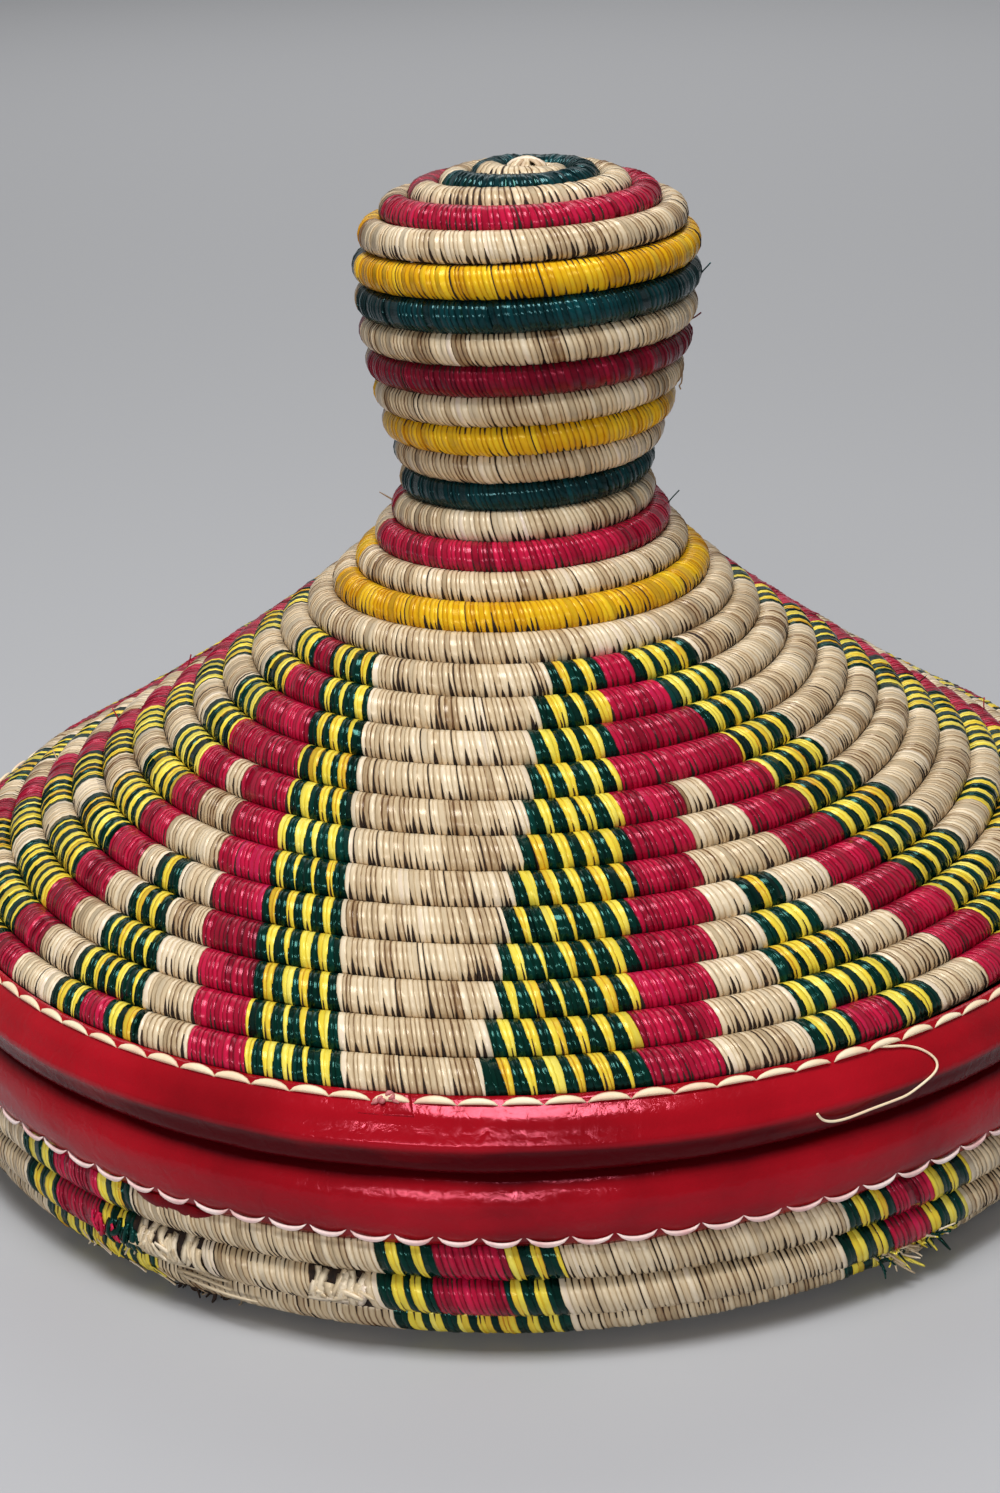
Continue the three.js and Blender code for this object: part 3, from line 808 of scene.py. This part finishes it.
def loose_strand():
    curve = bpy.data.curves.new("loose_lacing_strand", "CURVE")
    curve.dimensions = "3D"
    curve.bevel_depth = STRAND / 2 * METRE
    curve.bevel_resolution = 2
    curve.resolution_u = 6
    spline = curve.splines.new("NURBS")
    spline.points.add(len(STRAND_ROUTE) - 1)
    for point, place in zip(spline.points, STRAND_ROUTE):
        point.co = (*(c * METRE for c in place), 1)
    spline.use_endpoint_u = True
    spline.order_u = 3
    curve.use_fill_caps = True
    made = finished(curve.name, curve, "lid", ["lid_lacing_strand"], [THREAD])


set_camera()
loose_strand()


# Coils

def signed(angle):
    """The same angle between -180 and 180."""
    return (angle + 180) % 360 - 180


def row_of(t, angle):
    """Number of the row that turn t is on at an angle, counted from the crown."""
    return np.round(t - (LID_START_ANGLE - angle) / 360) + 1


def triangle(u, n):
    """Dye of one nested triangle, u millimetres along its row, n rows down."""
    dye = np.full(u.shape, NATURAL)
    bands = [
        (0, 23 - 1.3 * np.maximum(n - 5, 0), 60 + 11 * n, None),
        (0, np.minimum(36 + 2.2 * n, 48.5), 43 + 10.2 * n, CRIMSON),
        (4, np.interp(n, [4, 5, 7], [59.5, 62, 66]), 66 + 10.3 * (n - 4), NATURAL),
        (7, 75 + 3 * (n - 7), 84 + 9.4 * (n - 7), None),
        (11, 99 + 0 * n, 110 + 0 * n, CRIMSON),
    ]
    for first_row, near, far, band_dye in bands:
        inside = (n >= first_row) & (u >= near) & (u < far)
        stripes = np.maximum(2 * np.round((far - near) / STRIPE / 2 - 0.5) + 1, 1)
        stripe = np.floor((u - near) / (far - near) * stripes)
        band = np.where(stripe % 2 == 0, GREEN, LEMON) if band_dye is None else band_dye
        dye = np.where(inside, band, dye)
    return dye


def lid_dye(angle, t):
    """Whole rows of one dye down to the throat, then the triangles and the wedge round the cone."""
    plain_row = np.floor(t + DYE_LEAD)
    plain = ROW_DYES[np.clip(plain_row, 0, len(ROW_DYES) - 1).astype(int)]
    radius = lid.middle(t)[0]
    dye = np.full(t.shape, NATURAL)
    for start, drift, size in TRIANGLES:
        row = row_of(t, start)
        u = np.radians((angle - start - drift * (row - CONE_PATTERN_ROW)) % 360) * radius / size
        free = (dye == NATURAL) & (row >= CONE_PATTERN_ROW)
        dye = np.where(free, triangle(u, row - CONE_PATTERN_ROW), dye)
    row = row_of(t, GAP_ANGLE)
    u = np.radians(signed(angle - GAP_ANGLE)) * radius
    wedge = (row >= GAP_ROW) & (np.abs(u) < WEDGE_HALF + WEDGE_GROWS * (row - GAP_ROW))
    dye = np.where(wedge, np.where(np.floor(u / STRIPE) % 2 == 0, GREEN, LEMON), dye)
    return np.where((plain_row < CONE_PATTERN_ROW) & (dye == NATURAL), plain, dye)


def base_dye(angle, t):
    """Upright bars round the wall, striped green and yellow, with crimson in their upper rows. They step
    aside a little in the lowest row."""
    off = signed(angle[:, None] - BAR_ANGLES)
    nearest = np.abs(off).argmin(axis=1)
    half = BAR_HALVES[nearest]
    u = np.radians(off[np.arange(len(off)), nearest]) * RIM_RADIUS - np.interp(t, [0, 0.9], BAR_STEPS)
    stripes = np.floor((u + half) / STRIPE)
    dye = np.where(stripes % 2 == 0, GREEN, LEMON)
    crimson = np.abs(u - 0.5) < CRIMSON_SHARE * half - CRIMSON_INSET
    dye = np.where(crimson & (t > 0.6), CRIMSON, dye)
    dye = np.where((np.abs(u) > half) | (t < -0.35), NATURAL, dye)
    for middle, reach in CHEWED:
        # Where the wrapping is gone the bundle shows, in its dark painted shade
        worn_through = (np.abs(signed(angle - middle)) < reach) & (np.abs(t - 1) < 0.3)
        dye = np.where(worn_through, SHADED_BUNDLE, dye)
    return dye


def undyed(angle, t):
    return np.full(t.shape, NATURAL)


lid = Coil(LID_OUTLINE, lid_edge, LID_START_ANGLE, side=1, foot=LID_FOOT, lean=KNOB_LEAN)
wall = Coil(BASE_OUTLINE, even_edge, BASE_START_ANGLE, side=-1)
floor_coil = Coil(
    [(0, FLOOR_THICKNESS / 2), (FLOOR_RADIUS, FLOOR_THICKNESS / 2)], even_edge, BASE_START_ANGLE,
    side=1, stitch=FLOOR_STITCH,
)

first, last = lid.span()
for name, node, turns in (
    ("knob_coil_crown", "lid_knob_coil", (first, 5)),
    ("knob_coil_side", "lid_knob_coil", (5, NECK_SPLICE)),
    ("neck_coil", "lid_neck_coil", (NECK_SPLICE, CONE_SPLICE)),
    ("cone_coil_shoulder", "lid_cone_coil", (CONE_SPLICE, 21)),
    ("cone_coil_upper", "lid_cone_coil", (21, 23.5)),
    ("cone_coil_middle", "lid_cone_coil", (23.5, 25.5)),
    ("cone_coil_lower", "lid_cone_coil", (25.5, 27.5)),
    ("cone_coil_foot", "lid_cone_coil", (27.5, last)),
):
    stitched(name, lid, *turns, lid_dye, "lid", node)

first, last = wall.span()
for name, turns in (("wall_coil_lower", (first, 1)), ("wall_coil_upper", (1, last))):
    stitched(name, wall, *turns, base_dye, "base", "base_wall_coil")
first, last = floor_coil.span()
for name, turns in (("floor_coil_middle", (0.3, 10)), ("floor_coil_outer", (10, last))):
    stitched(name, floor_coil, *turns, undyed, "base", "base_floor", outer=4)


# Rims

lid_rim = Rim(LID_LEATHER, 1)
base_rim = Rim(BASE_LEATHER, -1)
leather_roll("lid_leather_strip", lid_rim, "lid", "lid_rim_leather", lid_folds)
leather_roll("base_leather_strip", base_rim, "base", "base_rim_leather", base_folds)
rim_core("lid_rim_core_grass", LID_CORE_MIDDLE, LID_CORE_HEIGHT, "lid")
rim_core("base_rim_core_grass", BASE_CORE_MIDDLE, BASE_CORE_HEIGHT, "base")


def bite(rim, angle, half_length, low, high, lift):
    """One stitch of the lacing on the leather: an arc that is thickest in the middle."""
    u = np.linspace(-1, 1, 9)
    turn = angle + np.degrees(u * half_length / RIM_RADIUS)
    near = low(u)
    far = high(u)
    raised = lift * np.sqrt(np.maximum(1 - u**2, 0)) ** 0.6
    path = rim.place(turn, (near + far) / 2, raised / 2 + 0.05)
    outward = rim.outward(turn, (near + far) / 2)
    return rings_round(path, outward, np.maximum(np.abs(far - near), 0.12), np.maximum(raised, 0.1))


def lacing(name, rim, knot_angle, low, high, lift, reach, thread, body, node):
    """The lacing round a rim, between two lines along each stitch."""
    pitch = 360 / SCALLOPS
    bites = []
    for k in range(SCALLOPS):
        angle = knot_angle + pitch * (k + 0.5) + rng.uniform(-0.12, 0.12)
        half = math.radians(pitch) * RIM_RADIUS / 2 * reach * rng.uniform(0.93, 1.05)
        scale = rng.uniform(0.85, 1.1)
        bites.append(bite(rim, angle, half, low, lambda u: low(u) + scale * (high(u) - low(u)), lift))
    threads(name, bites, body, [node], [thread])


lacing(
    "lid_lacing_stitches", lid_rim, LID_KNOT_ANGLE,
    lambda u: 2.3 - 0.1 * (1 - u**2), lambda u: 2.3 - 1.9 * (1 - u**2) ** 0.7, 1.1, 1.0, THREAD,
    "lid", "lid_rim_lacing",
)
lacing(
    "base_lacing_stitches", base_rim, BASE_KNOT_ANGLE,
    lambda u: 3.5 - 0.9 * (1 - u**2), lambda u: 3.5 - 2.6 * (1 - u**2), 1.0, 0.93, PINK_THREAD,
    "base", "base_rim_lacing",
)


def knot(name, rim, angle, thread, body, node):
    """Two lumpy turns of thread pulled tight, with two short ends."""
    parts = []
    for offset, low, size in ((0.9, 1.0, 1.0), (-0.9, 2.0, 0.7)):
        u = np.linspace(0, 2 * math.pi, 13)
        turn = angle + np.degrees((offset + 0.8 * size * np.cos(u)) / RIM_RADIUS)
        path = rim.place(turn, low + 0.6 * size * np.sin(u), 0.7 + 0.4 * np.sin(2 * u))
        outward = rim.outward(turn, low + 0 * u)
        parts.append(rings_round(path, outward, 1.1 + 0.3 * np.sin(3 * u + offset), 1.0))
    for start, reach, low, drop in ((1.6, 1.4, 1.6, 0.8), (-1.8, -1.2, 2.2, 0.8)):
        u = np.linspace(0, 1, 6)
        turn = angle + np.degrees((start + reach * u) / RIM_RADIUS)
        path = rim.place(turn, low + drop * u, 0.8 - 0.3 * u)
        outward = rim.outward(turn, low + drop * u)
        parts.append(rings_round(path, outward, 0.9 + 0.4 * np.sin(5 * u), 0.8))
    threads(name, parts, body, [node], [thread])


knot("lid_lacing_tied_knot", lid_rim, LID_KNOT_ANGLE + 1.2, KNOT_THREAD, "lid", "lid_lacing_knot")
knot("base_lacing_tied_knot", base_rim, BASE_KNOT_ANGLE, PINK_THREAD, "base", "base_lacing_knot")


def crown_wad():
    """The knotted start of the coil: strips of browned grass wrapped over a small bundle."""
    parts = []
    centre = np.array([KNOB_LEAN * CROWN_HEIGHT, 0, CROWN_HEIGHT + LID_FOOT])
    strips = 11
    for k in range(strips):
        heading = k * math.pi / strips + rng.uniform(-0.3, 0.3)
        side = np.array([math.cos(heading), math.sin(heading), 0])
        off = np.array([-side[1], side[0], 0]) * rng.uniform(-1.2, 1.2)
        a = np.linspace(0.05, math.pi - 0.05, 9)[:, None]
        path = centre + off + 4.9 * np.cos(a) * side + np.array([0, 0, 2.0 + 0.07 * k]) * np.sin(a)
        outward = path - centre + np.array([0, 0, 0.1])
        parts.append(rings_round(path, outward, rng.uniform(1.2, 2.1), 0.8))
    dyes = rng.choice([WAD, NATURAL], len(parts))
    threads("crown_wad", parts, "lid", ["lid_coil_start"], GRASSES, dyes)


def floor_start():
    """The small knot that the floor's coil starts from."""
    bm = bmesh.new()
    bmesh.ops.create_uvsphere(bm, u_segments=20, v_segments=12, radius=FLOOR_THICKNESS / 2 * METRE)
    bmesh.ops.scale(bm, vec=(1.3, 1.3, 0.96), verts=bm.verts)
    bmesh.ops.translate(bm, vec=(0, 0, FLOOR_THICKNESS / 2 * METRE), verts=bm.verts)
    closed_up(bm)
    name = "floor_coil_start"
    finished(name, mesh_of(name, bm), "base", ["base_floor"], [GRASSES[WAD]])


crown_wad()
floor_start()


# Loose ends of grass

def loose_end(coil, t, across, run, breadth, thickness, curl=0.0):
    """A stem that has come out of its row at turn t. It runs off by millimetres along the row, across
    it and outwards, over whatever row it lies on, and may curl on the way."""
    u = np.linspace(0, 1, 6)
    half = coil.middle(t)[4]
    turn = t + (run[0] * u + curl * np.sin(math.pi * u)) * coil.rate(t)
    share = across + (run[1] * u + 0.6 * curl * np.sin(math.pi * u)) / half
    over = (share + 1) % 2 - 1
    proud = (half - 0.1) * np.sqrt(np.maximum(1 - over**2, 0)) + run[2] * u**1.4
    path = coil.place(turn, share, proud)
    outward = coil.place(turn, share, proud + 1) - path
    path[:, 2] = np.maximum(path[:, 2], 0.5)
    return rings_round(path, outward, breadth * (1 - 0.5 * u**3), thickness, sides=4)


def turn_at(coil, angle, row):
    """The turn of a coil that is nearest to a row, at an angle."""
    turn = (coil.start_angle - angle) / 360 % 1
    return turn + round(row - turn)


def frayed(name, coil, body, node, places):
    """Tufts of broken stitches. Each place is an angle and half its reach, a row, a share across it,
    how many ends, their dyes, their mean breadth, and the mean and spread of their run."""
    parts = []
    dyes = []
    for angle, reach, row, across, count, tints, breadth, mean, spread in places:
        for _ in range(count):
            t = turn_at(coil, angle + reach * rng.uniform(-1, 1), row)
            run = np.array(mean) + np.array(spread) * rng.uniform(-1, 1, 3)
            start = across + rng.uniform(-0.35, 0.35)
            parts.append(loose_end(
                coil, t, start, run, breadth * rng.uniform(0.7, 1.3), 0.45, rng.uniform(-1, 1),
            ))
            dyes.append(rng.choice(tints))
    threads(name, parts, body, [node], GRASSES, dyes, tones=(0.3, 0.9))


frayed("base_frayed_stitches", wall, "base", "base_wall_coil", [
    # Gnawed wrapping, left of the middle and at the middle bar
    (-121.9, 3.3, 1, 0.8, 22, [NATURAL], 2.0, (0, -6.5, 0.1), (3, 1.5, 0.3)),
    (-121.9, 3.3, 1, -0.8, 14, [NATURAL], 1.8, (0, 6, 0.1), (4, 1.5, 0.3)),
    (-121.9, 3.0, 1, 0.0, 8, [NATURAL], 1.6, (1, 0, 0.6), (5, 3, 0.4)),
    (-122.5, 3.0, 1, -1.0, 5, [NATURAL], 1.3, (-16, -0.4, 0.5), (5, 0.6, 0.2)),
    (-106, 2.4, 1, 0.8, 13, [NATURAL], 2.2, (1, -6.5, 0.0), (2, 1.5, 0.2)),
    (-106, 2.4, 1, -0.7, 8, [NATURAL], 2.0, (-1, 5, 0.0), (2, 1.5, 0.2)),
    (-106, 2.2, 1, 0.0, 7, [NATURAL], 1.7, (0, 0, 0.5), (7, 1.5, 0.3)),
    # Left bar
    (-129.6, 1.8, 1, 0.3, 10, [CRIMSON], 1.6, (-1, -4, 0.8), (2, 2, 0.6)),
    (-128.0, 1.7, 1, -0.3, 12, [LEMON, NATURAL], 1.5, (-1, -3.5, 1.0), (2.5, 2, 0.6)),
    (-126.8, 1.4, 1, 0.5, 12, [GREEN], 1.8, (0, -5, 0.9), (1.5, 2, 0.5)),
    # Right bar
    (-59.4, 1.2, 1, -0.9, 20, [LEMON, NATURAL, GREEN], 0.7, (-2, -1.5, 1.4), (4, 3, 1.0)),
    (-57.8, 1.4, 1, -1.0, 20, [LEMON, NATURAL], 0.7, (-1.5, -1, 1.4), (4, 2.5, 0.9)),
    (-56.6, 1.0, 0, 0.5, 6, [NATURAL], 1.3, (-3, 0, 0.5), (2, 0.5, 0.2)),
    (-55.0, 1.2, 1, -0.6, 24, [GREEN, GREEN, LEMON, NATURAL], 0.8, (-1.5, -0.5, 1.4), (4, 3, 0.9)),
    # Lowest row, some stems in the bundle's dark painted shade
    (-121, 3.2, 0, -0.3, 22, [SHADED_BUNDLE, SHADED_BUNDLE, WAD], 0.9, (1, -4, 2.6), (3, 1.5, 1)),
    (-129, 5.0, 0, 0.4, 12, [NATURAL, LEMON], 1.0, (-3, -1, 0.6), (3, 1, 0.4)),
])


def stray_stems():
    """Thin stems that stand out from the knob and the cone."""
    parts = []
    dyes = []
    for angle, row, run, tint in (
        (-4, 6.2, (1, -3, 3), TEAL), (-4, 8.2, (0, -7, 1.4), WINE), (-3, 14.2, (-1, -1, 4), GREEN),
        (-176, 14.2, (1, 0, 4), WAD), (5, 24, (2, 0, 3), GREEN), (176, 25, (-1, -1, 4), CRIMSON),
        (178, 27, (2, 0, 3), WAD), (168, 23, (0, -3, 3), CRIMSON), (-9, 9.2, (0, 4, 3), WAD),
        (12, 27, (0, -2, 3), CRIMSON), (60, 20, (0, 2, 3), WAD), (110, 12, (0, 3, 3), NATURAL),
    ):
        t = turn_at(lid, angle, row)
        parts.append(loose_end(lid, t, 0.1, run, 0.45, 0.4))
        dyes.append(tint)
    threads("lid_stray_stems", parts, "lid", ["lid_cone_coil"], GRASSES, dyes)


stray_stems()


# Leather that has torn or laps over

def flap(name, rings, body, node, tones):
    # The tones go into the leather's painted shade, which darkens it and dulls its gloss
    threads(name, [rings], body, [node], [GOATSKIN], layer="painted_shade", tones=tones)


def lap():
    """The end of the lid's leather strip, laid over its beginning. Only its cut edge stands up."""
    distance = np.linspace(0.1, LAP_REACH, 12)
    angles = LAP_ANGLE + np.array([-4.5, -3.3, -2.2, -1.2, -0.5, -0.1, 0])
    rings = []
    for angle, height in zip(angles, (-0.5, -0.15, 0.1, 0.25, 0.35, 0.35, 0.1)):
        shifted = angle + 0.1 * distance
        folds = np.array([lid_folds(a, d)[0] for a, d in zip(shifted, distance)])
        thin = height * np.clip((LAP_REACH - distance) / 2.5, -0.4, 1)
        outside = lid_rim.place(shifted, distance, folds + thin)
        inside = lid_rim.place(shifted, distance, folds - 0.9)[::-1]
        rings.append(np.vstack([outside, inside, outside[:1]]))
    flap("lid_leather_lap", np.array(rings), "lid", "lid_rim_leather", (0.2, 0.3))


def torn_lip():
    """A torn tongue of the base's leather that hangs below its lacing, over the top row of the wall."""
    u = np.linspace(0, 1, 14)
    turn = turn_at(wall, -121, 2) + np.linspace(4.3, -4.2, len(u)) / 360
    half = wall.middle(turn)[4]
    share = 0.78 - 0.24 * np.sin(math.pi * u) - 0.06 * np.sin(3 * math.pi * u)
    proud = half * np.sqrt(1 - share**2) + 0.35
    path = wall.place(turn, share, proud)
    outward = wall.place(turn, share, proud + 1) - path
    breadth = 0.5 + 3.6 * np.sin(math.pi * u) ** 0.8
    rings = rings_round(path, outward, breadth, 0.7, 8)
    flap("base_leather_torn_lip", rings, "base", "base_rim_leather", (0.7, 0.8))


lap()
torn_lip()


# Table, light and world

def table_top():
    """A wide table of pale matt paper, which takes a soft shadow."""
    bm = bmesh.new()
    bmesh.ops.create_grid(bm, x_segments=2, y_segments=2, size=TABLE_REACH)
    mesh = mesh_of("table_top", bm)
    paper, tree = new_material("pale_paper")
    shader = add(tree, "ShaderNodeBsdfPrincipled", inputs={
        "Base Color": colour("#B3B4B7"), "Roughness": 0.8,
    })
    add(tree, "ShaderNodeOutputMaterial", inputs={"Surface": shader})
    mesh.materials.append(paper)
    placed("table_top", mesh)


def softbox(name, place, aim, width, depth, power):
    """A soft lamp, turned to its aim, in metres and watts."""
    data = bpy.data.lights.new(name, "AREA")
    data.shape = "RECTANGLE"
    data.size = width
    data.size_y = depth
    data.energy = power
    turn = (Vector(aim) - Vector(place)).to_track_quat("-Z", "Y")
    placed(name, data).matrix_world = Matrix.Translation(place) @ turn.to_matrix().to_4x4()


def studio_world():
    """Faint light from all round, and a grey backdrop for the camera and the gloss."""
    world = bpy.data.worlds.new("studio")
    world.use_nodes = True
    tree = world.node_tree
    tree.nodes.clear()
    path = add(tree, "ShaderNodeLightPath")
    seen = path.outputs["Is Camera Ray"]
    for ray in ("Is Transmission Ray", "Is Glossy Ray"):
        seen = add(tree, "ShaderNodeMath", {"operation": "MAXIMUM"}, {0: seen, 1: path.outputs[ray]})
    white = colour("#FFFFFF")
    lighting = add(tree, "ShaderNodeBackground", inputs={"Color": white, "Strength": 0.1})
    backdrop = add(tree, "ShaderNodeBackground", inputs={"Color": white, "Strength": 0.3})
    mixed = add(tree, "ShaderNodeMixShader", inputs={0: seen, 1: lighting, 2: backdrop})
    add(tree, "ShaderNodeOutputWorld", inputs={"Surface": mixed})
    bpy.context.scene.world = world


table_top()
softbox("softbox_above", (-0.06, -0.45, 1.62), (0, 0, 0.08), 0.6, 0.6, 24)
softbox("softbox_front", (-0.42, -1.85, 0.7), (0, 0, 0.1), 1.1, 0.09, 11)
softbox("softbox_backdrop", (0, 2.6, 2.4), (0, 3.4, 0), 3, 3, 55)
studio_world()
bpy.context.scene.view_settings.view_transform = "Standard"
